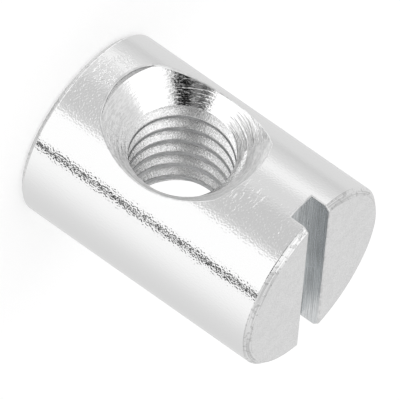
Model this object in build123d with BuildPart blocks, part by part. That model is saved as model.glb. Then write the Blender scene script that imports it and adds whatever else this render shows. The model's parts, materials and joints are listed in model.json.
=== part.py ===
from build123d import *
import os
from math import radians, tan

# Barrel nut: a turned steel cross dowel with one tapped cross hole,
# countersunk from both sides, and a screwdriver slot across one end.
#
# Millimetres.  The nut stands on its plain end, which is centred on the
# origin.  +Z runs along the barrel to the slotted end, and the cross hole
# runs along Y with the side that the screw enters towards -Y.

# The barrel
barrel_diameter = 10.0
barrel_length = 14.1
end_chamfer = 0.28

# The cross hole, tapped M6
hole_height = 6.0  # hole's axis above the plain end
crest_diameter = 5.1  # across the thread's crests
countersink_angle = 90.0
cutter_diameter = 8.2  # full width of the countersinking cutter
entry_sink = 0.5  # barrel's skin to the cutter's full width, screw side
exit_sink = 0.27  # the same on the far side, where the cutter ran in less

# The screwdriver slot, in line with the cross hole
slot_width = 1.55
slot_depth = 1.12

overrun = 1.0  # how far a cutter passes beyond the skin that it opens

barrel_radius = barrel_diameter / 2
crest_radius = crest_diameter / 2
cutter_radius = cutter_diameter / 2
cone_depth = (cutter_radius - crest_radius) / tan(radians(countersink_angle / 2))
entry_shoulder = barrel_radius - entry_sink  # from the barrel's axis
exit_shoulder = barrel_radius - exit_sink
clear_of_barrel = barrel_radius + overrun

with BuildPart() as nut_body:
    # Turned bar, chamfered at both ends
    with BuildSketch(Plane.XY):
        Circle(barrel_radius)
    extrude(amount=barrel_length)
    chamfer(nut_body.edges().filter_by(GeomType.CIRCLE), length=end_chamfer)

    # Cross hole: half of its section, turned about its own axis.  The
    # section steps out from the crests to each cone and its full width.
    hole_axis = Axis((0, 0, hole_height), (0, 1, 0))
    with BuildSketch(Plane.XY.offset(hole_height)):
        with BuildLine():
            Polyline(
                (0, -clear_of_barrel),
                (cutter_radius, -clear_of_barrel),
                (cutter_radius, -entry_shoulder),
                (crest_radius, cone_depth - entry_shoulder),
                (crest_radius, exit_shoulder - cone_depth),
                (cutter_radius, exit_shoulder),
                (cutter_radius, clear_of_barrel),
                (0, clear_of_barrel),
                close=True,
            )
        make_face()
    revolve(axis=hole_axis, mode=Mode.SUBTRACT)

    # Screwdriver slot, cut right across the far end
    with BuildSketch(Plane.XY.offset(barrel_length)):
        Rectangle(slot_width, 2 * clear_of_barrel)
    extrude(amount=-slot_depth, mode=Mode.SUBTRACT)

nut_body.part.label = "nut_body"

os.makedirs("parts", exist_ok=True)
export_step(nut_body.part, "parts/nut_body.step")
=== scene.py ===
"""Looks of a barrel nut: its cut surfaces, its thread and its zinc finish.

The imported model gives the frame: metres, with the nut standing on its plain
end at the origin and its barrel along +Z.  The nut is one piece of turned
steel, so each of the first classes shapes one feature of that piece, and
their surfaces are sewn into a single closed mesh.  Lengths in those classes
are millimetres, as a machinist would write them, and the finishes and the
studio are in metres.
"""

import json
import logging
import math
from collections.abc import Sequence
from dataclasses import dataclass, field
from enum import Enum

import bpy
import numpy as np
from mathutils import Matrix, Vector

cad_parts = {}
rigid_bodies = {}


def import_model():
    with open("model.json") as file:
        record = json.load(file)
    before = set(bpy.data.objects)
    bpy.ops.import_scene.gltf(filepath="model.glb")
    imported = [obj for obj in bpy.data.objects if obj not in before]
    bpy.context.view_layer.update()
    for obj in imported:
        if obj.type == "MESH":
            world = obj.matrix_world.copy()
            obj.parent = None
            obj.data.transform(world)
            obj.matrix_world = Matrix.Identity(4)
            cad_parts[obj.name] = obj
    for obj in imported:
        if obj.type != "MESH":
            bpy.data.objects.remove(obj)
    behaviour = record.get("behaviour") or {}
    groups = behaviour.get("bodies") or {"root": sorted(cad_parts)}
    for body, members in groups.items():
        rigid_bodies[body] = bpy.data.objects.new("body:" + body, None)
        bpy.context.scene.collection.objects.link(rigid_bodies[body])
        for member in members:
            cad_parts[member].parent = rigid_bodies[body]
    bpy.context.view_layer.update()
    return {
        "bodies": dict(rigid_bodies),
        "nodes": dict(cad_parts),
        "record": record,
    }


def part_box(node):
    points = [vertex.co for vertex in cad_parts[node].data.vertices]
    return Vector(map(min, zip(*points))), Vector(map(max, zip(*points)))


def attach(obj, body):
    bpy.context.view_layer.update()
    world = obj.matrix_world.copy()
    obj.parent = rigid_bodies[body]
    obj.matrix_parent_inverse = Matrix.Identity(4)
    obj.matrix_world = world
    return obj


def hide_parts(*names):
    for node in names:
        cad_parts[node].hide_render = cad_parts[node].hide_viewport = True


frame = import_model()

MM = 0.001
TURN = 2 * math.pi
CLOSE = 1e-9  # sizes that differ by less than this are the same
UP = np.array([0.0, 0.0, 1.0])
log = logging.getLogger("barrel_nut")


class Cut(Enum):
    """How a surface was made, which decides its finish.

    The numbers are the places of the finishes on the nut.
    """

    DRAWN = 0  # the bar's skin
    FACED = 1  # both end faces
    COUNTERSUNK = 2  # the cones of both mouths
    DRILLED_PAINTED_SHADE = 3  # the thread's crests, whose plate is painted dark as shade
    TAPPED = 4  # its flanks and roots
    MILLED = 5  # the slot's walls
    SAWN = 6  # the slot's floor
    BORED = 7  # the wall between a cone and the skin
    CHAMFERED = 8  # the chamfers of both ends
    BURRED = 9  # edges that were broken after cutting


@dataclass
class Patch:
    """A grid of surface points.

    Attributes:
        points: Rows by columns by 3, in millimetres.
        normals: The same shape, unit vectors that point out of the metal.
        cut: How the surface was made, or an array of the cuts' numbers with
            one for each quad.
        creased: True where the mesh's own corners give the shading.
    """

    points: np.ndarray
    normals: np.ndarray
    cut: Cut | np.ndarray
    creased: bool = False


@dataclass
class Flat:
    """A flat face with any outline.

    Attributes:
        outline: Points around the face, in millimetres.
        normal: The unit vector that points out of the metal.
        cut: How the surface was made.
    """

    outline: np.ndarray
    normal: np.ndarray
    cut: Cut


def joined(*parts: np.ndarray | float) -> np.ndarray:
    """Puts coordinates side by side, each an array or one number for all."""
    return np.stack(np.broadcast_arrays(*parts), axis=-1)


def unit(vectors: np.ndarray) -> np.ndarray:
    """Scales vectors to length one, where the last axis holds x, y and z."""
    return vectors / np.linalg.norm(vectors, axis=-1, keepdims=True)


def eased_edge(
    start: np.ndarray,
    corner: np.ndarray,
    end: np.ndarray,
    start_normal: np.ndarray,
    end_normal: np.ndarray,
    steps: int = 4,
) -> tuple[np.ndarray, np.ndarray]:
    """Rounds off a row of sharp corners.

    Args:
        start: Points on the first surface, where the rounding begins.
        corner: The sharp corners.
        end: Points on the second surface, where the rounding ends.
        start_normal: The first surface's normals.
        end_normal: The second surface's normals.
        steps: Facets across the rounding.

    Returns:
        Points and normals, with one more axis in front for the steps.
    """
    along = np.linspace(0.0, 1.0, steps + 1).reshape((-1,) + (1,) * np.ndim(start))
    points = (1 - along) ** 2 * start + 2 * along * (1 - along) * corner + along**2 * end
    return points, unit((1 - along) * start_normal + along * end_normal)


def ruled(start: np.ndarray, end: np.ndarray, rows: int, crowding: float = 1.0) -> np.ndarray:
    """Fills in rows of points between two edges, closer to the first if crowded."""
    share = np.linspace(0, 1, rows + 1)[:, None, None] ** crowding
    return (1 - share) * start + share * end


@dataclass
class Sewing:
    """Joins patches and flats into one closed mesh.

    Attributes:
        weld: Points nearer than this, in millimetres, are one point.
        weld_shift: Share of that by which the welding grid is moved, so that
            no row of points lies on its lines.
        bend: Quads more bent than this, in millimetres, are split.
        crease_angle: Radians over which a creased patch keeps a sharp edge.
        points: A block of points for each patch or flat.
        faces: Each face's point numbers.
        normals: Each face's normals, one for each corner.
        cuts: The number of each face's cut.
        creased: True for each face that the mesh's own corners shade.
    """

    weld: float = 1e-4
    weld_shift: float = 0.37
    bend: float = 0.003
    crease_angle: float = math.radians(12)
    points: list[np.ndarray] = field(default_factory=list)
    faces: list[np.ndarray] = field(default_factory=list)
    normals: list[np.ndarray] = field(default_factory=list)
    cuts: list[int] = field(default_factory=list)
    creased: list[bool] = field(default_factory=list)

    def add_patch(self, patch: Patch) -> None:
        """Adds a patch's quads, turned to face out of the metal.

        Args:
            patch: The grid to add.
        """
        rows, columns, _ = patch.points.shape
        flat_points = patch.points.reshape(-1, 3)
        flat_normals = patch.normals.reshape(-1, 3)
        first = sum(len(block) for block in self.points)
        self.points.append(flat_points)
        index = np.arange(rows * columns).reshape(rows, columns)
        quads = joined(index[:-1, :-1], index[:-1, 1:], index[1:, 1:], index[1:, :-1])
        quads = quads.reshape(-1, 4)
        across = flat_points[quads[:, 2]] - flat_points[quads[:, 0]]
        other = flat_points[quads[:, 3]] - flat_points[quads[:, 1]]
        facing = np.einsum("ij,ij->i", np.cross(across, other), flat_normals[quads[:, 0]])
        if facing.sum() < 0:
            quads = quads[:, ::-1]
        cuts = np.broadcast_to(getattr(patch.cut, "value", patch.cut), (rows - 1, columns - 1))
        lifts = self._lifts(flat_points, quads) if patch.creased else np.zeros(len(quads))
        for quad, lift, cut in zip(quads, lifts, cuts.reshape(-1)):
            parts = [[0, 1, 2, 3]]
            if abs(lift) > self.bend:
                parts = [[0, 1, 2], [0, 2, 3]] if lift > 0 else [[0, 1, 3], [1, 2, 3]]
            for part in parts:
                corners = quad[part]
                self._add_face(corners + first, flat_normals[corners], cut, patch.creased)

    def _lifts(self, points: np.ndarray, quads: np.ndarray) -> np.ndarray:
        """Measures how far each quad's first diagonal stands proud of its second.

        Args:
            points: The patch's points.
            quads: Four point numbers for each quad, facing out of the metal.

        Returns:
            One height for each quad.
        """
        a, b, c, d = (points[quads[:, i]] for i in range(4))
        never_zero = 1e-12
        outward = unit(np.cross(c - a, d - b) + never_zero)
        return np.einsum("ij,ij->i", (a + c - b - d) / 2, outward)

    def add_flat(self, flat: Flat) -> None:
        """Adds a flat face, turned to face out of the metal.

        Args:
            flat: The face to add.
        """
        first = sum(len(block) for block in self.points)
        self.points.append(flat.outline)
        following = np.roll(flat.outline, -1, axis=0)
        turning = np.cross(flat.outline, following).sum(axis=0) @ flat.normal
        order = np.arange(len(flat.outline))
        if turning < 0:
            order = order[::-1]
        normals = np.tile(flat.normal, (len(order), 1))
        self._add_face(order + first, normals, flat.cut.value, False)

    def _add_face(
        self, corners: np.ndarray, normals: np.ndarray, cut: int, creased: bool
    ) -> None:
        """Keeps one face for later.

        Args:
            corners: Point numbers.
            normals: One normal for each corner.
            cut: The number of the cut that made the surface.
            creased: True where the mesh's own corners give the shading.
        """
        self.faces.append(corners)
        self.normals.append(normals)
        self.cuts.append(cut)
        self.creased.append(creased)

    def mesh(self, name: str) -> bpy.types.Mesh:
        """Welds everything and makes the mesh.

        Args:
            name: The mesh's name.

        Returns:
            A closed mesh in metres, with its shading set.
        """
        points = np.concatenate(self.points)
        shift = self.weld_shift * self.weld
        cells = np.floor((points + shift) / self.weld).astype(np.int64)
        _, kept, merged = np.unique(cells, axis=0, return_index=True, return_inverse=True)
        merged = merged.reshape(-1)
        faces, normals, cuts, creased = [], [], [], []
        added = zip(self.faces, self.normals, self.cuts, self.creased)
        for corners, bent, cut, is_creased in added:
            welded = merged[corners]
            distinct = welded != np.roll(welded, 1)
            welded = welded[distinct]
            if len(welded) < 3 or len(set(welded.tolist())) < len(welded):
                continue
            faces.append(welded.tolist())
            normals.append(bent[distinct])
            cuts.append(cut)
            creased.append(is_creased)
        mesh = bpy.data.meshes.new(name)
        mesh.from_pydata((points[kept] * MM).tolist(), [], faces)
        mesh.polygons.foreach_set("material_index", cuts)
        keep_own = np.repeat(creased, [len(face) for face in faces])
        self._shade(mesh, np.concatenate(normals), keep_own)
        return mesh

    def _shade(self, mesh: bpy.types.Mesh, given: np.ndarray, keep_own: np.ndarray) -> None:
        """Sets the normal of every face's corner.

        Args:
            mesh: The welded mesh.
            given: The normals that the features give.
            keep_own: True for each corner that the mesh's own shape shades.
        """
        mesh.polygons.foreach_set("use_smooth", [True] * len(mesh.polygons))
        mesh.set_sharp_from_angle(angle=self.crease_angle)
        own = np.zeros(given.size, np.float32)
        mesh.corner_normals.foreach_get("vector", own)
        given[keep_own] = own.reshape(-1, 3)[keep_own]
        mesh.normals_split_custom_set(given.tolist())
        mesh.update()


@dataclass
class Barrel:
    """The bar that the nut is turned from.

    Attributes:
        radius: The bar's radius.
        length: From the plain end to the slotted end.
        chamfer: Leg of the chamfer at each end.
        edge: Leg of the rounding that is left on a chamfer's edges.
        chamfer_lean: Upward part of its normal over which a turned facet is
            chamfer.
        half_ring: Columns over a quarter of the skin, beside the slot.
    """

    radius: float
    length: float
    chamfer: float = 0.28
    edge: float = 0.04
    chamfer_lean: float = 0.2
    half_ring: int = 40

    @staticmethod
    def around(
        angle: np.ndarray, radius: np.ndarray | float
    ) -> tuple[np.ndarray, np.ndarray]:
        """Gives x and y at an angle from the front, which is -Y, towards +X."""
        return radius * np.sin(angle), -radius * np.cos(angle)

    def skin_point(self, arc: np.ndarray, height: np.ndarray, side: int) -> np.ndarray:
        """Places points on the front (side 1) or back (-1) half, by arc towards +X."""
        x, y = self.around(arc / self.radius, self.radius)
        return joined(x, side * y, height)

    @staticmethod
    def skin_normal(points: np.ndarray) -> np.ndarray:
        """Gives the skin's normals at some of its points."""
        return unit(points * [1, 1, 0])

    def end_profile(self) -> tuple[np.ndarray, np.ndarray]:
        """Draws the chamfered end as seen from the side.

        Returns:
            Radius and depth below the end face, and the normals there, from
            the skin over the chamfer to the end face.
        """
        slant = self.edge / math.sqrt(2)
        skin = np.array([1.0, 0.0])
        cone = np.array([math.sqrt(0.5), math.sqrt(0.5)])
        face = np.array([0.0, 1.0])
        lower = np.array([self.radius, self.chamfer])
        upper = np.array([self.radius - self.chamfer, 0.0])
        outer, outer_normals = eased_edge(
            lower + [0, self.edge], lower, lower + [-slant, -slant], skin, cone
        )
        inner, inner_normals = eased_edge(
            upper + [slant, slant], upper, upper + [-self.edge, 0], cone, face
        )
        profile = np.concatenate([outer, inner])
        return profile, np.concatenate([outer_normals, inner_normals])

    def revolved(self, profile: np.ndarray, normals: np.ndarray, angles: np.ndarray) -> Patch:
        """Turns a profile about the barrel's axis.

        Args:
            profile: Radius and height, one row each.
            normals: Radial and upward parts of the normal, one row each.
            angles: Angles about the axis, one row of them for each profile
                row or one row for all.

        Returns:
            The turned surface, whose leaning part is chamfer.
        """
        angles = np.broadcast_to(angles, (len(profile), np.shape(angles)[-1]))
        x, y = self.around(angles, profile[:, :1])
        nx, ny = self.around(angles, normals[:, :1])
        rise = np.broadcast_to(normals[:, 1:], x.shape)
        facet_rise = (rise[:-1, :-1] + rise[1:, :-1]) / 2
        leaning = np.abs(facet_rise) > self.chamfer_lean
        cuts = np.where(leaning, Cut.CHAMFERED.value, Cut.DRAWN.value)
        return Patch(joined(x, y, profile[:, 1:]), unit(joined(nx, ny, rise)), cuts)


@dataclass
class DriverSlot:
    """The screwdriver slot across the far end.

    Attributes:
        barrel: The bar that it is cut in.
        floor: Height of the slot's floor above the plain end.
        width: The slot's width.
        edge: Leg of the rounding along the slot's edges.
        inner_columns: Columns of the skin under the slot.
        side_rows: Rows of skin between the floor and the chamfer.
        face_steps: Points along the slot's edge on the end face.
    """

    barrel: Barrel
    floor: float
    width: float = 1.55
    edge: float = 0.08
    inner_columns: int = 12
    side_rows: int = 6
    face_steps: int = 60

    @property
    def shoulder(self) -> float:
        """Half the width that the slot's rounded edges reach over."""
        return self.width / 2 + self.edge

    @property
    def base(self) -> float:
        """Height at which the skin under the slot begins to round over."""
        return self.floor - self.edge

    def beside_angles(self) -> np.ndarray:
        """Gives the columns from the slot's shoulder around to +X."""
        notch = math.asin(self.shoulder / self.barrel.radius)
        return np.linspace(notch, math.pi / 2, self.barrel.half_ring + 1)

    def under_angles(self) -> np.ndarray:
        """Gives the columns under the slot, from shoulder to shoulder."""
        notch = math.asin(self.shoulder / self.barrel.radius)
        return np.linspace(-notch, notch, self.inner_columns + 1)

    def front_angles(self) -> np.ndarray:
        """Gives the columns over the front half of the skin."""
        beside = self.beside_angles()
        return np.concatenate([-beside[::-1], self.under_angles()[1:-1], beside])

    def top_profile(self) -> tuple[np.ndarray, np.ndarray]:
        """Draws the side of the barrel from the slot's floor to the end face.

        Returns:
            Radius and height, and the normals there.
        """
        profile, normals = self.barrel.end_profile()
        profile = profile * [1, -1] + [0, self.barrel.length]
        rise = np.linspace(self.floor, profile[0, 1], self.side_rows)[:-1]
        heights = np.concatenate([[self.base], rise])
        skin = joined(self.barrel.radius, heights)
        return (
            np.concatenate([skin, profile]),
            np.concatenate([np.tile([1.0, 0.0], (len(skin), 1)), normals]),
        )

    def sew(self, sewing: Sewing) -> None:
        """Adds the slotted end: its skin, chamfer, faces and the slot.

        Args:
            sewing: The mesh being made.
        """
        for side in (1, -1):
            self._sew_half(sewing, side)
        self._sew_floor(sewing)

    def _top_band(self, profile: np.ndarray, normals: np.ndarray, side: int) -> Patch:
        """Turns the skin and chamfer of one half of the slotted end.

        Args:
            profile: Radius and height, from the slot's floor to the end face.
            normals: The normals there.
            side: 1 for the half towards +X and -1 for the other.

        Returns:
            The band, whose first and last columns follow the slot's edge.
        """
        quarter = math.pi / 2
        beside = self.beside_angles()
        start = np.arcsin(self.shoulder / profile[:, :1])
        share = (quarter - start) / (quarter - beside[0])
        front = quarter - (quarter - beside) * share
        turned = np.concatenate([front, math.pi - front[:, -2::-1]], axis=1)
        band = self.barrel.revolved(profile, normals, turned)
        mirror = [side, 1, 1]
        return Patch(band.points * mirror, band.normals * mirror, band.cut)

    def _sew_half(self, sewing: Sewing, side: int) -> None:
        """Adds one half of the slotted end.

        Args:
            sewing: The mesh being made.
            side: 1 for the half towards +X and -1 for the other.
        """
        profile, normals = self.top_profile()
        band = self._top_band(profile, normals, side)
        sewing.add_patch(band)

        outer = band.points[:, 0]
        lathe_normal = band.normals[:, 0]
        wall = side * self.width / 2
        corner = joined(wall, -np.sqrt(profile[:, 0] ** 2 - wall**2), outer[:, 2])
        corner[0, 2] = self.floor
        inner = corner - self.edge * unit(lathe_normal * [0, 1, 1])
        inner[0, 2] = self.floor

        top = self.barrel.length
        reach = -outer[-1, 1]
        run = np.linspace(-reach, reach, self.face_steps + 1)[1:-1]

        def over(end: np.ndarray, line: np.ndarray) -> np.ndarray:
            """Joins one end of the slot, a line over the face and the other end."""
            return np.concatenate([end, line, (end * [1, -1, 1])[::-1]])

        outer_path = over(outer, joined(side * self.shoulder, run, top))
        corner_path = over(corner, joined(wall, run, top))
        inner_path = over(inner, joined(wall, run, top - self.edge))
        path_normal = over(lathe_normal, np.tile(UP, (len(run), 1)))
        wall_normal = np.array([-side, 0.0, 0.0])
        points, bent = eased_edge(outer_path, corner_path, inner_path, path_normal, wall_normal)
        sewing.add_patch(Patch(points, bent, Cut.BURRED))
        sewing.add_flat(Flat(inner_path, wall_normal, Cut.MILLED))

        face_line = outer_path[len(outer):-len(outer)]
        face = np.concatenate([band.points[-1], face_line[::-1]])
        sewing.add_flat(Flat(face, UP, Cut.FACED))

    def _sew_floor(self, sewing: Sewing) -> None:
        """Adds the slot's floor, rounded over to the skin at both ends.

        Args:
            sewing: The mesh being made.
        """
        x, y = self.barrel.around(self.under_angles(), self.barrel.radius)
        narrowed = x * (self.width / 2) / self.shoulder
        edge_y = -np.sqrt(self.barrel.radius**2 - narrowed**2)
        skin = joined(x, y, self.base)
        corner = joined(narrowed, edge_y, self.floor)
        inner = corner + [0, self.edge, 0]
        outline = []
        for side in (1, -1):
            start, middle, end = (row * [1, side, 1] for row in (skin, corner, inner))
            points, bent = eased_edge(start, middle, end, self.barrel.skin_normal(start), UP)
            sewing.add_patch(Patch(points, bent, Cut.BURRED))
            outline.append(end[::side])
        sewing.add_flat(Flat(np.concatenate(outline), UP, Cut.SAWN))


@dataclass
class Countersink:
    """One mouth of the cross hole.

    Attributes:
        barrel: The bar that it is cut in.
        side: 1 for the front, where the screw enters, and -1 for the back.
        crest_edge: Distance from the barrel's axis to where the plain bore
            over the thread's crests would meet the cone.
        crest_radius: That bore's radius.
        cutter_radius: The countersinking cutter's full radius.
        rim: Mean leg of the rounding around the mouth.
        rim_spread: Share by which the leg grows on one side and shrinks on
            the other.
        rim_side: Hole angle of the side where the leg is widest.
        start_radius: Radius on the cone where the thread's patch takes over.
        skin_rows: Rows of skin from the rim to the skin's edge.
        skin_crowding: How much those rows crowd towards the rim.
        wall_rows: Rows down the wall that the cutter's side leaves.
        cone_rows: Rows down the cone.
    """

    barrel: Barrel
    side: int
    crest_edge: float
    crest_radius: float
    cutter_radius: float = 4.1
    rim: float = 0.07
    rim_spread: float = 0.65
    rim_side: float = math.radians(-80)
    start_radius: float = 3.15
    skin_rows: int = 24
    skin_crowding: float = 1.3
    wall_rows: int = 3
    cone_rows: int = 8

    @property
    def cone_offset(self) -> float:
        """Distance from the barrel's axis to the tip of the cone."""
        return self.crest_edge - self.crest_radius

    def cone_height(self, radius: np.ndarray | float) -> np.ndarray | float:
        """Distance from the barrel's axis to the cone at a radius."""
        return radius + self.cone_offset

    def corner_angles(self) -> list[float]:
        """Finds where cone, cutter wall and skin meet.

        Returns:
            The four hole angles.
        """
        shoulder = self.cone_height(self.cutter_radius)
        across = math.sqrt(self.barrel.radius**2 - shoulder**2) / self.cutter_radius
        angle = math.acos(across)
        return [angle, math.pi - angle, -angle, angle - math.pi]

    def place(
        self,
        radius: np.ndarray | float,
        outward: np.ndarray | float,
        angle: np.ndarray,
        height: float,
    ) -> np.ndarray:
        """Places points by hole radius, distance out and hole angle from +X to +Z."""
        across = radius * np.cos(angle)
        return joined(across, -self.side * outward, height + radius * np.sin(angle))

    def rim_radius(self, angle: np.ndarray) -> np.ndarray:
        """Finds how far from the hole's axis this mouth meets the skin.

        Args:
            angle: Hole angles.

        Returns:
            A radius for each.
        """
        share = 1 + np.cos(angle) ** 2
        tip = self.cone_offset
        root = np.sqrt(tip**2 - share * (tip**2 - self.barrel.radius**2))
        return np.minimum((root - tip) / share, self.cutter_radius)

    def sew(self, sewing: Sewing, angle: np.ndarray, outer: np.ndarray, height: float) -> None:
        """Adds the skin around the mouth, its rim, cutter wall and cone.

        Args:
            sewing: The mesh being made.
            angle: Hole angle of each column, once around and closed.
            outer: Arc and height of the skin patch's edge, one row a column.
            height: Height of the hole's axis.
        """
        leg = self.rim * (1 + self.rim_spread * np.cos(angle - self.rim_side))
        radius = self.rim_radius(angle)
        reach = np.sqrt(self.barrel.radius**2 - (radius * np.cos(angle)) ** 2)
        corner = self.place(radius, reach, angle, height)

        away = joined(np.cos(angle), np.sin(angle))
        skin = self._skin(corner, leg[:, None] * away, outer)
        sewing.add_patch(skin)

        wall = np.maximum(reach - self.cone_height(self.cutter_radius), 0)
        wall[radius < self.cutter_radius - CLOSE] = 0
        inward = -joined(np.cos(angle), 0, np.sin(angle))
        cone_normal = unit(inward + [0, -self.side, 0])

        def down(distance: np.ndarray) -> np.ndarray:
            """Walks from the rim down the cutter wall and then the cone.

            Args:
                distance: How far, in millimetres, for each column.

            Returns:
                A point for each column.
            """
            on_cone = np.maximum(distance - wall, 0) / math.sqrt(2)
            on_wall = np.minimum(distance, wall)
            return self.place(radius - on_cone, reach - on_wall - on_cone, angle, height)

        walled = np.clip(wall / leg, 0, 1)[:, None]
        foot_normal = unit(walled * inward + (1 - walled) * cone_normal)
        foot = down(leg)
        points, bent = eased_edge(
            skin.points[0], corner, foot, skin.normals[0], foot_normal
        )
        sewing.add_patch(Patch(points, bent, Cut.BURRED))

        shoulder = down(np.maximum(wall, leg))
        band = ruled(foot, shoulder, self.wall_rows)
        sewing.add_patch(Patch(band, np.broadcast_to(inward, band.shape), Cut.BORED))

        start_height = self.cone_height(self.start_radius)
        start = self.place(self.start_radius, start_height, angle, height)
        cone = ruled(shoulder, start, self.cone_rows)
        sewing.add_patch(Patch(cone, np.broadcast_to(cone_normal, cone.shape), Cut.COUNTERSUNK))

    def _skin(self, corner: np.ndarray, leg: np.ndarray, outer: np.ndarray) -> Patch:
        """Lays the skin from the mouth's rim to the skin's edge.

        Args:
            corner: Points where the mouth would meet the skin in a sharp edge.
            leg: Step from each of them over the skin, as arc and height.
            outer: Arc and height of the skin's edge.

        Returns:
            The skin, with its first row along the rim.
        """
        arc = self.barrel.radius * np.arcsin(corner[:, 0] / self.barrel.radius)
        lip = joined(arc, corner[:, 2]) + leg
        plan = ruled(lip, outer, self.skin_rows, self.skin_crowding)
        points = self.barrel.skin_point(plan[..., 0], plan[..., 1], self.side)
        return Patch(points, self.barrel.skin_normal(points), Cut.DRAWN)


@dataclass
class Thread:
    """The tapped thread, right hand, running out into both countersinks.

    Attributes:
        height: Height of the hole's axis above the plain end.
        crest_radius: Radius at the crests.
        front: The countersink that the screw enters by.
        back: The countersink on the far side.
        oversize: How much wider than that radius the drill cut.
        pitch: Advance in one turn.
        root_radius: Radius at the bottom of the grooves.
        root_flat: Width of the groove's bottom.
        lean: Angle between each flank and a plane across the hole.
        crest_ease: Width of the small facet on each edge of a crest.
        narrowing: Share by which the groove narrows in each millimetre away
            from the mouth that the tap went in by.
        phase: Where the groove crosses the hole's +X side, along Y.
        shift: How far the tapped hole runs off the countersinks' middle, in
            X and Z.
        flank_rows: Rows of quads over each flank.
        crest_rows: Rows over half a crest.
        spare_turns: Turns laid out past each mouth, for the slant of the rows.
    """

    height: float
    crest_radius: float
    front: Countersink
    back: Countersink
    oversize: float = 0.03
    pitch: float = 1.0
    root_radius: float = 3.05
    root_flat: float = 0.16
    lean: float = math.radians(34.5)
    crest_ease: float = 0.04
    narrowing: float = 0.026
    phase: float = -0.045
    shift: tuple[float, float] = (0.06, -0.07)
    flank_rows: int = 5
    crest_rows: int = 2
    spare_turns: int = 2

    @property
    def bore(self) -> float:
        """Radius that the crests are left at."""
        return self.crest_radius + self.oversize

    @property
    def crest_edge(self) -> float:
        """Half the groove's width at the crests."""
        return self.root_flat / 2 + (self.root_radius - self.bore) * math.tan(self.lean)

    def groove_radius(self, offset: np.ndarray) -> np.ndarray:
        """Draws the groove.

        Args:
            offset: Distances from the groove's middle.

        Returns:
            The thread's radius at each.
        """
        ease = self.crest_ease / 2
        flank_share = ease / (self.crest_edge - self.root_flat / 2)
        eased = self.bore + flank_share * (self.root_radius - self.bore)
        return np.interp(
            np.abs(offset),
            [self.root_flat / 2, self.crest_edge - ease, self.crest_edge + ease],
            [self.root_radius, eased, self.bore],
        )

    def narrowed(self, offset: np.ndarray, run: np.ndarray) -> np.ndarray:
        """Moves rows towards the groove's middle where the groove is narrower.

        Args:
            offset: Each row's distance from the groove's middle at the mouth.
            run: Distance that the tap had gone by the groove's middle.

        Returns:
            Distances from the groove's middle.
        """
        edge = self.crest_edge + self.crest_ease / 2
        share = 1 - self.narrowing * np.clip(run, 0, None)
        beyond = np.clip((np.abs(offset) - edge) / (self.pitch / 2 - edge), 0, 1)
        inner = share * np.minimum(np.abs(offset), edge)
        outer = beyond * (self.pitch / 2 - share * edge)
        return np.sign(offset) * (inner + outer)

    def row_offsets(self) -> np.ndarray:
        """Spaces the rows of one pitch.

        Returns:
            Distances from the groove's middle, with one at every edge.
        """
        ease = self.crest_ease / 2
        flank = np.linspace(self.root_flat / 2, self.crest_edge - ease, self.flank_rows + 1)
        crest = np.linspace(self.crest_edge + ease, self.pitch / 2, self.crest_rows + 1)
        half = np.concatenate([flank, crest])
        return np.concatenate([-half[::-1], [0.0], half[:-1]])

    def _laid_out(
        self, angle: np.ndarray, low: float, high: float
    ) -> tuple[np.ndarray, np.ndarray]:
        """Lays out the rows that follow the groove.

        Args:
            angle: Hole angle of each column.
            low: Where the thread's patch begins, along Y.
            high: Where it ends.

        Returns:
            Each row's distance from its groove's middle at the mouth, and the
            place of that middle along Y in each column.
        """
        pitches = math.ceil((high - low) / self.pitch)
        turns = np.arange(-self.spare_turns, pitches + self.spare_turns + 1)
        offsets = self.row_offsets()
        own_offset = np.tile(offsets, len(turns)).reshape(-1, 1)
        first = low + (self.phase - low) % self.pitch
        middle = first + np.repeat(turns, len(offsets)).reshape(-1, 1) * self.pitch
        return own_offset, middle - self.pitch * angle / TURN

    def sew(self, sewing: Sewing, angle: np.ndarray) -> None:
        """Adds the thread between the two countersinks.

        Args:
            sewing: The mesh being made.
            angle: Hole angle of each column, once around and closed.
        """
        low = -self.front.cone_height(self.front.start_radius)
        high = self.back.cone_height(self.back.start_radius)
        own_offset, middle = self._laid_out(angle, low, high)
        depth = middle + self.narrowed(own_offset, middle - low)
        off_middle = self.shift[0] * np.cos(angle) + self.shift[1] * np.sin(angle)
        thread = self.groove_radius(own_offset) + off_middle
        cones = np.maximum(-depth - self.front.cone_offset, depth - self.back.cone_offset)
        depth, thread, cones = self._meet_cones(depth, thread, cones)
        radius = np.maximum(thread, cones)
        before, after = depth <= low, depth >= high
        radius[before] = self.front.start_radius
        radius[after] = self.back.start_radius
        depth = np.clip(depth, low, high)
        across = radius * np.cos(angle)
        points = joined(across, depth, self.height + radius * np.sin(angle))
        inward = -joined(np.cos(angle), 0, np.sin(angle))
        normals = np.broadcast_to(inward, points.shape)
        crest = np.abs(own_offset) > self.crest_edge
        on_crest = crest[:-1] & crest[1:]
        cuts = np.where(on_crest, Cut.DRILLED_PAINTED_SHADE.value, Cut.TAPPED.value)
        on_cone = (cones >= thread - CLOSE) | before | after
        all_cone = on_cone[:-1, :-1] & on_cone[1:, :-1] & on_cone[:-1, 1:] & on_cone[1:, 1:]
        cuts = np.where(all_cone, Cut.COUNTERSUNK.value, cuts)
        sewing.add_patch(Patch(points, normals, cuts, creased=True))

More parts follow.
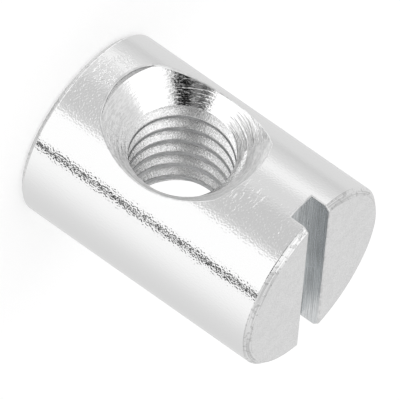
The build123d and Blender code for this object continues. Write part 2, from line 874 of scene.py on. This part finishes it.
    def _meet_cones(
        self, depth: np.ndarray, thread: np.ndarray, cones: np.ndarray
    ) -> tuple[np.ndarray, np.ndarray, np.ndarray]:
        """Moves rows onto the line where the thread runs out into a cone.

        Args:
            depth: Place of each point along Y.
            thread: The thread's radius there.
            cones: The wider cone's radius there.

        Returns:
            The three arrays, with the nearest point of each crossing moved.
        """
        gap = thread - cones
        crossing = gap[:-1] * gap[1:] < 0
        share = np.where(crossing, gap[:-1] / np.where(crossing, gap[:-1] - gap[1:], 1), 0)
        moved = [array.copy() for array in (depth, thread, cones)]
        for array, result in zip((depth, thread, cones), moved):
            met = array[:-1] + share * (array[1:] - array[:-1])
            upper = crossing & (share < 0.5)
            lower = crossing & (share >= 0.5)
            result[:-1][upper] = met[upper]
            result[1:][lower] = met[lower]
        return tuple(moved)


Socket = bpy.types.NodeSocket
Feed = Socket | float | Sequence[float]


@dataclass
class Recipe:
    """Writes shader nodes one after another.

    Attributes:
        tree: The node tree being written.
    """

    tree: bpy.types.NodeTree

    def node(
        self, kind: str, feeds: dict[str | int, Feed] | None = None, **settings: str
    ) -> bpy.types.Node:
        """Adds a node.

        Args:
            kind: Blender's name for the node.
            feeds: What goes into each input: a socket, or a plain value.
            settings: The node's own properties.

        Returns:
            The node.
        """
        made = self.tree.nodes.new(kind)
        for name, value in settings.items():
            setattr(made, name, value)
        for slot, feed in (feeds or {}).items():
            if isinstance(feed, Socket):
                self.link(feed, made.inputs[slot])
            else:
                made.inputs[slot].default_value = feed
        return made

    def link(self, made: Socket, into: Socket) -> None:
        """Leads what one node makes into another's input."""
        self.tree.links.new(made, into)

    def math(self, operation: str, *feeds: Feed) -> Socket:
        """Adds one step of arithmetic, of one to three inputs."""
        made = self.node("ShaderNodeMath", dict(enumerate(feeds)), operation=operation)
        return made.outputs[0]

    def rise(
        self, value: Feed, low: float, high: float, start: float = 0.0, end: float = 1.0
    ) -> Socket:
        """Turns a value into a soft step.

        Args:
            value: The value that decides.
            low: Where the step begins.
            high: Where it ends.
            start: The result below the step.
            end: The result above it.

        Returns:
            The result.
        """
        feeds = {"Value": value, 1: low, 2: high, 3: start, 4: end}
        made = self.node("ShaderNodeMapRange", feeds, interpolation_type="SMOOTHSTEP")
        return made.outputs["Result"]

    def blend(self, share: Feed, first: Feed, second: Feed) -> Socket:
        """Mixes two numbers, where a share of 0 is the first and 1 the second."""
        feeds = {0: share, 2: first, 3: second}
        return self.node("ShaderNodeMix", feeds, data_type="FLOAT").outputs[0]

    def noise(self, place: Feed, detail: float, finer: float) -> Socket:
        """Adds a noise, mostly 0.3 to 0.7, with a feature for each unit of place."""
        feeds = {"Vector": place, "Scale": 1.0, "Detail": detail, "Roughness": finer}
        return self.node("ShaderNodeTexNoise", feeds).outputs["Fac"]

    def vector(self, operation: str, feeds: dict[str | int, Feed]) -> bpy.types.Node:
        """Adds one step of arithmetic on vectors."""
        return self.node("ShaderNodeVectorMath", feeds, operation=operation)


def fresh_material(name: str) -> tuple[bpy.types.Material, Recipe, bpy.types.NodeInputs]:
    """Starts a material.

    Args:
        name: Its name.

    Returns:
        The material, its recipe and the inputs of its shader.
    """
    material = bpy.data.materials.new(name)
    material.use_nodes = True
    shader = material.node_tree.nodes["Principled BSDF"]
    return material, Recipe(material.node_tree), shader.inputs


HOLLOW = (0.38, 0.6)  # the noise from a hollow's floor to its edge
FILM_STAIN_AND_SHADE = (0.1, 0.3)  # the slant over which stains and the painted shade of hollows begin to show in a film
FILM_MILKY = (0.25, 0.7)  # the slant over which a film goes from clear to milky


class Layout(Enum):
    """How marks lie on the nut."""

    PLAIN = "along X, Y and Z"
    ROUND_HOLE = "out from the hole, around it and along it"
    ROUND_BARREL = "out from the barrel's axis, around it and along it"


@dataclass(frozen=True)
class Marks:
    """Small marks that a tool or the plating bath left in a surface.

    Attributes:
        layout: Which way the three rates run.
        rates: Marks per metre along each way, or per turn for around.
        height: Height from hollow to crown, in metres.
        detail: Octaves of finer marks.
        sparse: 0 for marks all over, or how much of the noise is left flat.
        stain_and_shade: Share of the colour that is taken off in the hollows,
        as painted shade, and on the marks themselves where they are sparse,
        as their stain.
        spot: Middle and radius, in metres, of the only place with these
            marks.
        finer: Strength of each finer octave.
        sparse_step: Part of the noise over which a sparse mark rises.
        spot_core: Share of its radius over which a spot is at full strength.
    """

    layout: Layout
    rates: tuple[float, float, float]
    height: float
    detail: float = 2.0
    sparse: float = 0.0
    # Darkens the colour in the hollows of the marks as painted shade, and on sparse marks as
    # their stain.
    stain_and_shade: float = 0.0
    spot: tuple[float, float, float, float] | None = None
    finer: float = 0.55
    sparse_step: float = 0.12
    spot_core: float = 0.6

    def place(self, recipe: Recipe, hole_height: float) -> Socket:
        """Lays out the marks.

        Args:
            recipe: The material being written.
            hole_height: Height of the hole's axis in metres.

        Returns:
            Where the noise is read.
        """
        point = recipe.node("ShaderNodeTexCoord").outputs["Object"]
        if self.layout is Layout.PLAIN:
            return recipe.vector("MULTIPLY", {0: point, 1: self.rates}).outputs[0]
        parts = recipe.node("ShaderNodeSeparateXYZ", {0: point}).outputs
        if self.layout is Layout.ROUND_HOLE:
            across, along = parts["X"], parts["Y"]
            beside = recipe.math("SUBTRACT", parts["Z"], hole_height)
        else:
            across, beside, along = parts["X"], parts["Y"], parts["Z"]
        square = recipe.math("MULTIPLY", beside, beside)
        square = recipe.math("MULTIPLY_ADD", across, across, square)
        out = recipe.math("MULTIPLY", recipe.math("SQRT", square), self.rates[0])
        turn = recipe.math("ARCTAN2", beside, across)
        around = recipe.math("MULTIPLY", turn, self.rates[1] / TURN)
        along = recipe.math("MULTIPLY", along, self.rates[2])
        return recipe.node("ShaderNodeCombineXYZ", {0: out, 1: around, 2: along}).outputs[0]

    def pattern(self, recipe: Recipe, hole_height: float) -> Socket:
        """Shapes the marks.

        Args:
            recipe: The material being written.
            hole_height: Height of the hole's axis in metres.

        Returns:
            A number from 0 in the hollows to 1 on the crowns.
        """
        value = recipe.noise(self.place(recipe, hole_height), self.detail, self.finer)
        if self.sparse:
            value = recipe.rise(value, self.sparse, self.sparse + self.sparse_step)
        if self.spot:
            *middle, radius = self.spot
            point = recipe.node("ShaderNodeTexCoord").outputs["Object"]
            away = recipe.vector("DISTANCE", {0: point, 1: middle}).outputs["Value"]
            near = recipe.rise(away, self.spot_core * radius, radius, 1.0, 0.0)
            value = recipe.math("MULTIPLY", value, near)
        return value

    def loss(self, recipe: Recipe, pattern: Socket) -> Socket:
        """Takes a share off the colour: painted shade in the hollows, and their stain on sparse
        marks.

        Args:
            recipe: The material being written.
            pattern: The shaped marks.

        Returns:
            1 where nothing is lost.
        """
        stained_and_shaded = 1.0 - self.stain_and_shade
        if self.sparse:
            return recipe.rise(pattern, 0.0, 1.0, 1.0, stained_and_shaded)
        # Painted shade: the colour is darker in the hollows of the marks.
        return recipe.rise(pattern, *HOLLOW, stained_and_shaded, 1.0)


@dataclass(frozen=True)
class ZincFinish:
    """Bright zinc plate over one kind of cut steel.

    Attributes:
        cut: The cut under the plate.
        marks: The marks in it.
        colour: The plate's colour, painted dark on the thread's crests as shade.
        roughness: The plate's roughness.
        film: How milky its film of passivation looks when seen along the
        surface, from 0 for clear to 1 for white.  Stains and the painted
        shade of the hollows show in the film.
    """

    cut: Cut
    marks: tuple[Marks, ...]
    colour: tuple[float, float, float] = (0.9, 0.9, 0.9)
    roughness: float = 0.12
    film: float = 0.0

    def material(self, hole_height: float) -> bpy.types.Material:
        """Makes the node material.

        Args:
            hole_height: Height of the hole's axis in metres.

        Returns:
            The material.
        """
        material, recipe, shader = fresh_material(f"zinc_{self.cut.name.lower()}")
        shader["Base Color"].default_value = (*self.colour, 1)
        shader["Metallic"].default_value = 1.0
        shader["Roughness"].default_value = self.roughness
        # The share of the colour left after the painted shade in the hollows and the stains of
        # sparse marks.
        height, unstained_unshaded = 0.0, 1.0
        for marks in self.marks:
            pattern = marks.pattern(recipe, hole_height)
            height = recipe.math("MULTIPLY_ADD", pattern, marks.height, height)
            if marks.stain_and_shade:
                unstained_unshaded = recipe.math("MULTIPLY", unstained_unshaded, marks.loss(recipe, pattern))
        if self.film:
            slant = recipe.node("ShaderNodeLayerWeight").outputs["Facing"]
            metal = recipe.rise(slant, *FILM_MILKY, 1.0, 1.0 - self.film)
            recipe.link(metal, shader["Metallic"])
            unstained_unshaded = recipe.blend(recipe.rise(slant, *FILM_STAIN_AND_SHADE), 1.0, unstained_unshaded)
        if isinstance(unstained_unshaded, Socket):
            # The colour, darkened by painted shade in the hollows and by stains.
            stained_and_shaded = recipe.vector("SCALE", {0: self.colour, "Scale": unstained_unshaded})
            recipe.link(stained_and_shaded.outputs[0], shader["Base Color"])
        feeds = {"Height": height, "Distance": 1.0, "Strength": 1.0}
        recipe.link(recipe.node("ShaderNodeBump", feeds).outputs[0], shader["Normal"])
        return material


def even(level: float) -> tuple[float, float, float]:
    """Gives one level three times, for even marks or a grey."""
    return (level, level, level)


GRAIN = Marks(Layout.PLAIN, even(9500), 6e-6, stain_and_shade=0.05)
SPECKS = Marks(Layout.PLAIN, even(12000), 1.5e-5, stain_and_shade=0.15)
SLOT_PLATE = (0.84, 0.86, 0.87)
FINISHES = (
    ZincFinish(
        Cut.DRAWN,
        (
            Marks(Layout.PLAIN, even(11000), 6.6e-6, detail=0.0),
            Marks(Layout.PLAIN, even(700), 6e-6),
            # Scuffs low on the skin, scratches beside the slot, and more scuffs.
            Marks(
                Layout.PLAIN,
                even(5000),
                1.6e-5,
                sparse=0.5,
                spot=(-0.0002, -0.005, 0.0013, 0.0011),
            ),
            Marks(
                Layout.PLAIN,
                (1500.0, 4000.0, 9000.0),
                2.5e-5,
                sparse=0.6,
                spot=(0.001, -0.0049, 0.0106, 0.001),
            ),
            Marks(
                Layout.PLAIN,
                even(4000),
                8e-6,
                sparse=0.5,
                spot=(-0.0012, -0.0049, 0.0013, 0.0007),
            ),
        ),
        roughness=0.1,
    ),
    ZincFinish(
        Cut.FACED,
        (
            Marks(Layout.PLAIN, even(11000), 8e-6, stain_and_shade=0.1),
            Marks(Layout.PLAIN, even(1500), 2e-6, stain_and_shade=0.04),
        ),
        roughness=0.2,
    ),
    ZincFinish(
        Cut.COUNTERSUNK,
        (
            GRAIN,
            Marks(Layout.ROUND_HOLE, (7000.0, 7.0, 7000.0), 1.6e-5, detail=3.0, stain_and_shade=0.08),
            Marks(Layout.ROUND_HOLE, (11000.0, 70.0, 11000.0), 8e-6, detail=1.0, stain_and_shade=0.15),
            # Wide dark rings down the cone: painted shade bands.
            Marks(Layout.ROUND_HOLE, (2200.0, 1.5, 2200.0), 4e-6, detail=1.0, stain_and_shade=0.09),
            # Scores high on one side of the mouth.
            Marks(
                Layout.ROUND_HOLE,
                (11000.0, 10.0, 11000.0),
                1e-5,
                sparse=0.5,
                stain_and_shade=0.28,
                spot=(-0.0025, -0.0033, 0.0076, 0.0013),
            ),
        ),
        colour=even(0.99),
        roughness=0.1,
        film=0.95,
    ),
    ZincFinish(
        Cut.DRILLED_PAINTED_SHADE,
        (SPECKS, Marks(Layout.ROUND_HOLE, (0.0, 30.0, 16000.0), 8e-6, stain_and_shade=0.3)),
        # Painted shade: the crests' colour is dark for the shade that they mirror from beyond
        # the hole.
        colour=(0.54, 0.545, 0.55),
        roughness=0.4,
    ),
    ZincFinish(
        Cut.TAPPED,
        (SPECKS, Marks(Layout.ROUND_HOLE, (12000.0, 20.0, 0.0), 5e-6, stain_and_shade=0.08)),
        colour=even(0.99),
        roughness=0.25,
    ),
    ZincFinish(
        Cut.MILLED,
        (GRAIN, Marks(Layout.PLAIN, (0.0, 400.0, 19000.0), 1.2e-5, stain_and_shade=0.3)),
        colour=SLOT_PLATE,
        roughness=0.25,
    ),
    ZincFinish(
        Cut.SAWN,
        (GRAIN, Marks(Layout.PLAIN, (13000.0, 400.0, 0.0), 1.8e-5, stain_and_shade=0.4)),
        colour=SLOT_PLATE,
        roughness=0.25,
    ),
    ZincFinish(
        Cut.BORED,
        (GRAIN, Marks(Layout.ROUND_HOLE, (0.0, 6.0, 12000.0), 1.5e-5, stain_and_shade=0.2)),
        roughness=0.3,
        film=0.65,
    ),
    ZincFinish(
        Cut.CHAMFERED,
        (
            Marks(Layout.ROUND_BARREL, (16000.0, 12.0, 16000.0), 1e-5, stain_and_shade=0.25),
            Marks(Layout.PLAIN, even(5500), 1e-5, detail=1.0, sparse=0.54, stain_and_shade=0.2),
        ),
        roughness=0.15,
    ),
    ZincFinish(
        Cut.BURRED,
        (GRAIN, Marks(Layout.PLAIN, even(3000), 2.5e-5, detail=1.0, stain_and_shade=0.15)),
        colour=even(0.89),
        roughness=0.3,
    ),
)


@dataclass
class Nut:
    """The whole nut, made of its features.

    Attributes:
        barrel: The turned bar.
        slot: The screwdriver slot.
        front: The countersink that the screw enters by.
        back: The countersink on the far side.
        thread: The tapped thread.
        side_rows: Rows of skin along the barrel, from chamfer to slot.
    """

    barrel: Barrel
    slot: DriverSlot
    front: Countersink
    back: Countersink
    thread: Thread
    side_rows: int = 72

    @classmethod
    def from_frame(cls, record: dict) -> "Nut":
        """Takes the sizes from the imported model.

        Args:
            record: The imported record.

        Returns:
            A nut with the model's sizes.
        """
        low, high = (np.array(corner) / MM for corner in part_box("nut_body"))
        mounts = {mount["name"]: mount for mount in record["mounts"]}
        hole = mounts["screw_thread"]
        middle = hole["pos_m"][1] / MM
        half = hole["dims"]["length_mm"] / 2
        crest = hole["dims"]["r_mm"]
        barrel = Barrel(radius=(high[0] - low[0]) / 2, length=high[2] - low[2])
        slot = DriverSlot(barrel, floor=mounts["driver_slot"]["pos_m"][2] / MM)
        front = Countersink(barrel, 1, half - middle, crest)
        back = Countersink(barrel, -1, half + middle, crest)
        thread = Thread(hole["pos_m"][2] / MM, crest, front, back)
        return cls(barrel, slot, front, back, thread)

    def skin_outline(self) -> np.ndarray:
        """Walks around the edge of half the skin.

        Returns:
            Arc and height, along the bottom towards +X and back along the top.
        """
        arcs = self.slot.front_angles() * self.barrel.radius
        low = self.barrel.chamfer + self.barrel.edge
        heights = np.linspace(low, self.slot.base, self.side_rows + 1)
        bottom, top = joined(arcs, low), joined(arcs[::-1], self.slot.base)
        rising, falling = joined(arcs[-1], heights), joined(arcs[0], heights[::-1])
        return np.concatenate([bottom, rising[1:], top[1:], falling[1:]])

    def hole_angles(self, outline: np.ndarray) -> np.ndarray:
        """Gives each column its angle about the hole.

        Args:
            outline: Arc and height of the skin's edge.

        Returns:
            Rising angles, once around, with the mouths' corners among them.
        """
        angle = np.unwrap(np.arctan2(outline[:, 1] - self.thread.height, outline[:, 0]))
        for mouth in (self.front, self.back):
            for corner in mouth.corner_angles():
                gap = (angle[:-1] - corner + math.pi) % TURN - math.pi
                nearest = int(np.argmin(np.abs(gap)))
                angle[nearest] -= gap[nearest]
        angle[-1] = angle[0] + TURN
        return angle

    def build(self) -> bpy.types.Object:
        """Shapes every surface and sews them into one mesh.

        Returns:
            The nut, without its finishes.
        """
        sewing = Sewing()
        self.slot.sew(sewing)
        outline = self.skin_outline()
        angle = self.hole_angles(outline)
        for mouth in (self.front, self.back):
            mouth.sew(sewing, angle, outline, self.thread.height)
        self.thread.sew(sewing, angle)
        self._sew_plain_end(sewing)
        nut = bpy.data.objects.new("turned_nut", sewing.mesh("turned_nut"))
        bpy.context.scene.collection.objects.link(nut)
        return nut

    def _sew_plain_end(self, sewing: Sewing) -> None:
        """Adds the chamfer and the face of the plain end.

        Args:
            sewing: The mesh being made.
        """
        profile, normals = self.barrel.end_profile()
        front = self.slot.front_angles()
        ring = np.concatenate([front, math.pi - front[-2::-1]])
        patch = self.barrel.revolved(profile, normals * [1, -1], ring)
        sewing.add_patch(patch)
        sewing.add_flat(Flat(patch.points[-1][:-1], -UP, Cut.FACED))

    def dress(self, nut: bpy.types.Object) -> None:
        """Gives each kind of cut on the nut its finish."""
        for finish in sorted(FINISHES, key=lambda finish: finish.cut.value):
            nut.data.materials.append(finish.material(self.thread.height * MM))


@dataclass(frozen=True)
class Panel:
    """A bright or dark part of the room around the nut.

    Attributes:
        heading: Direction of its middle about +Z, in degrees, from the
            camera's side towards +X.
        half_width: Half its width in degrees.
        rise: Elevation of its middle, in degrees.
        half_height: Half its height in degrees.
        light: How bright it is, where 1 is white.
        softness: Degrees over which its sides fade.
        fade: Degrees over which its top and bottom fade.
    """

    heading: float
    half_width: float
    rise: float
    half_height: float
    light: float
    softness: float = 6.0
    fade: float = 8.0

    def cover(self, recipe: Recipe, heading: Socket, rise: Socket) -> Socket:
        """Finds the directions that the panel covers.

        Args:
            recipe: The room being written.
            heading: Heading of each direction, in degrees.
            rise: Elevation of each direction, in degrees.

        Returns:
            1 on the panel and 0 off it.
        """
        aside = recipe.math("SUBTRACT", heading, self.heading)
        aside = recipe.math("ABSOLUTE", recipe.math("WRAP", aside, 180.0, -180.0))
        above = recipe.math("ABSOLUTE", recipe.math("SUBTRACT", rise, self.rise))
        covers = []
        for away, half, soft in (
            (aside, self.half_width, self.softness / 2),
            (above, self.half_height, self.fade / 2),
        ):
            covers.append(recipe.rise(away, half - soft, half + soft, 1.0, 0.0))
        return recipe.math("MULTIPLY", *covers)


@dataclass
class Studio:
    """A pale floor, soft panels all around and the camera.

    Attributes:
        toward: Direction from the nut to the camera.
        right: The camera's right.
        distance: From the camera to the nut, in metres.
        lens: The camera's lens in millimetres.
        film_width: Width of the camera's film in millimetres.
        nearest: Distance at which the camera begins to see, in metres.
        aim: Where the camera looks, in metres.
        floor_size: Width of the floor in metres.
        floor_grey: The floor's colour.
        floor_glow: Light that the floor adds to what falls on it.
        floor_gap: Depth of the floor below the nut, which keeps the two faces
            from sharing a plane.
        room_light: Brightness of the room between the panels.
        panels: The panels, each laid over those before it.
    """

    toward: tuple[float, float, float] = (0.4730, -0.8157, 0.3330)
    right: tuple[float, float, float] = (-0.6315, -0.0504, 0.7737)
    distance: float = 0.532
    lens: float = 1004.0
    film_width: float = 36.0
    nearest: float = 0.01
    aim: tuple[float, float, float] = (-0.0000015, 0.0000315, 0.0071258)
    floor_size: float = 2.0
    floor_grey: float = 0.7
    floor_glow: float = 0.46
    floor_gap: float = 1e-5
    room_light: float = 0.765
    # Heading, half width, rise, half height, light, softness and fade.
    panels: tuple[Panel, ...] = (
        Panel(60, 32, -15, 60, 1.05, 64, 20),  # wide window on the right
        Panel(145, 15, -10, 60, 0.735, 20),  # window behind, on the right
        Panel(-80, 10, -30, 35, 1.0, 20, 20),  # window on the left
        Panel(-114, 6, -15, 40, 0.67, 16),  # dim wall behind it
        Panel(-20, 21, 0, 26, 0.64, 16),  # dim wall in front
        Panel(-10, 50, -55, 29, 1.2, 24),  # light from below, in front
        Panel(-38, 25, 36, 15, 1.12, 10),  # window above, on the left
        Panel(28, 21, -20, 33, 1.11, 4, 30),  # bright card, right of the camera
        Panel(53, 2.8, -15, 60, 0.0, 1.5),  # black strip at that card's edge
        Panel(-20, 55, 72, 22, 1.16, 12),  # skylight
        Panel(4.5, 24.5, 12, 14, 0.29, 8, 6),  # dark card beside the camera
        Panel(4, 6, -5, 8, 1.1, 5, 6),  # small light under the camera
        Panel(23, 10, 14, 12, 0.2, 4, 6),  # darker end of that card
        Panel(16, 13, 35.5, 12.5, 0.0, 8, 11),  # black card over it
        Panel(20, 14, 11, 2, 0.0, 6, 3),  # black slat
        Panel(0, 180, -90, 16, 0.6, 2, 12),  # dim ground under the nut
        Panel(-80, 70, -58, 26, 1.15, 20, 12),  # light from below, on the left
    )

    def camera(self) -> None:
        """Places the camera."""
        toward = Vector(self.toward).normalized()
        right = Vector(self.right)
        right = (right - right.dot(toward) * toward).normalized()
        up = toward.cross(right)
        place = Vector(self.aim) + self.distance * toward
        data = bpy.data.cameras.new("camera")
        data.lens = self.lens
        data.sensor_width = self.film_width
        data.clip_start = self.nearest
        camera = bpy.data.objects.new("camera", data)
        turn = Matrix((right, up, toward)).transposed()
        camera.matrix_world = Matrix.Translation(place) @ turn.to_4x4()
        bpy.context.scene.collection.objects.link(camera)
        bpy.context.scene.camera = camera

    def floor(self) -> None:
        """Lays the floor."""
        half = self.floor_size / 2
        mesh = bpy.data.meshes.new("floor")
        plan = [(-half, -half), (half, -half), (half, half), (-half, half)]
        mesh.from_pydata([(x, y, -self.floor_gap) for x, y in plan], [], [(0, 1, 2, 3)])
        floor = bpy.data.objects.new("floor", mesh)
        bpy.context.scene.collection.objects.link(floor)
        floor.visible_glossy = False
        floor.visible_diffuse = False
        material, recipe, shader = fresh_material("floor")
        shader["Base Color"].default_value = (*even(self.floor_grey), 1)
        shader["Roughness"].default_value = 1.0
        shader["Emission Color"].default_value = (1, 1, 1, 1)
        seen = recipe.node("ShaderNodeLightPath").outputs["Is Camera Ray"]
        recipe.link(recipe.math("MULTIPLY", seen, self.floor_glow), shader["Emission Strength"])
        mesh.materials.append(material)

    def surround(self) -> None:
        """Lights the room with its panels."""
        world = bpy.data.worlds.new("studio")
        world.use_nodes = True
        bpy.context.scene.world = world
        recipe = Recipe(world.node_tree)
        ray = recipe.node("ShaderNodeTexCoord").outputs["Generated"]
        front = math.atan2(self.toward[0], -self.toward[1])
        feeds = {"Vector": ray, "Axis": (0, 0, 1), "Angle": -front}
        turned = recipe.node("ShaderNodeVectorRotate", feeds, rotation_type="AXIS_ANGLE")
        parts = recipe.node("ShaderNodeSeparateXYZ", {0: turned.outputs[0]}).outputs
        back = recipe.math("MULTIPLY", parts["Y"], -1.0)
        heading = recipe.math("DEGREES", recipe.math("ARCTAN2", parts["X"], back))
        rise = recipe.math("DEGREES", recipe.math("ARCSINE", parts["Z"]))
        light = self.room_light
        for panel in self.panels:
            light = recipe.blend(panel.cover(recipe, heading, rise), light, panel.light)
        background = world.node_tree.nodes["Background"].inputs
        recipe.link(light, background["Strength"])
        background["Color"].default_value = (1, 1, 1, 1)


def clear_default_scene() -> None:
    """Removes whatever the start-up file holds besides the frame."""
    kept = set(frame["nodes"].values()) | set(frame["bodies"].values())
    for thing in list(bpy.data.objects):
        if thing not in kept:
            bpy.data.objects.remove(thing)


def main() -> None:
    """Builds the nut and its studio, and reports each piece."""
    logging.basicConfig(level=logging.INFO, format="%(name)s: %(message)s")
    clear_default_scene()
    bpy.context.scene.view_settings.view_transform = "Standard"

    shape = Nut.from_frame(frame["record"])
    nut = shape.build()
    shape.dress(nut)
    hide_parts("nut_body")
    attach(nut, "root")
    log.info("%s: %d faces", nut.name, len(nut.data.polygons))

    studio = Studio()
    studio.floor()
    studio.surround()
    studio.camera()
    log.info("studio: floor, surround and camera")


if __name__ == "__main__":
    main()
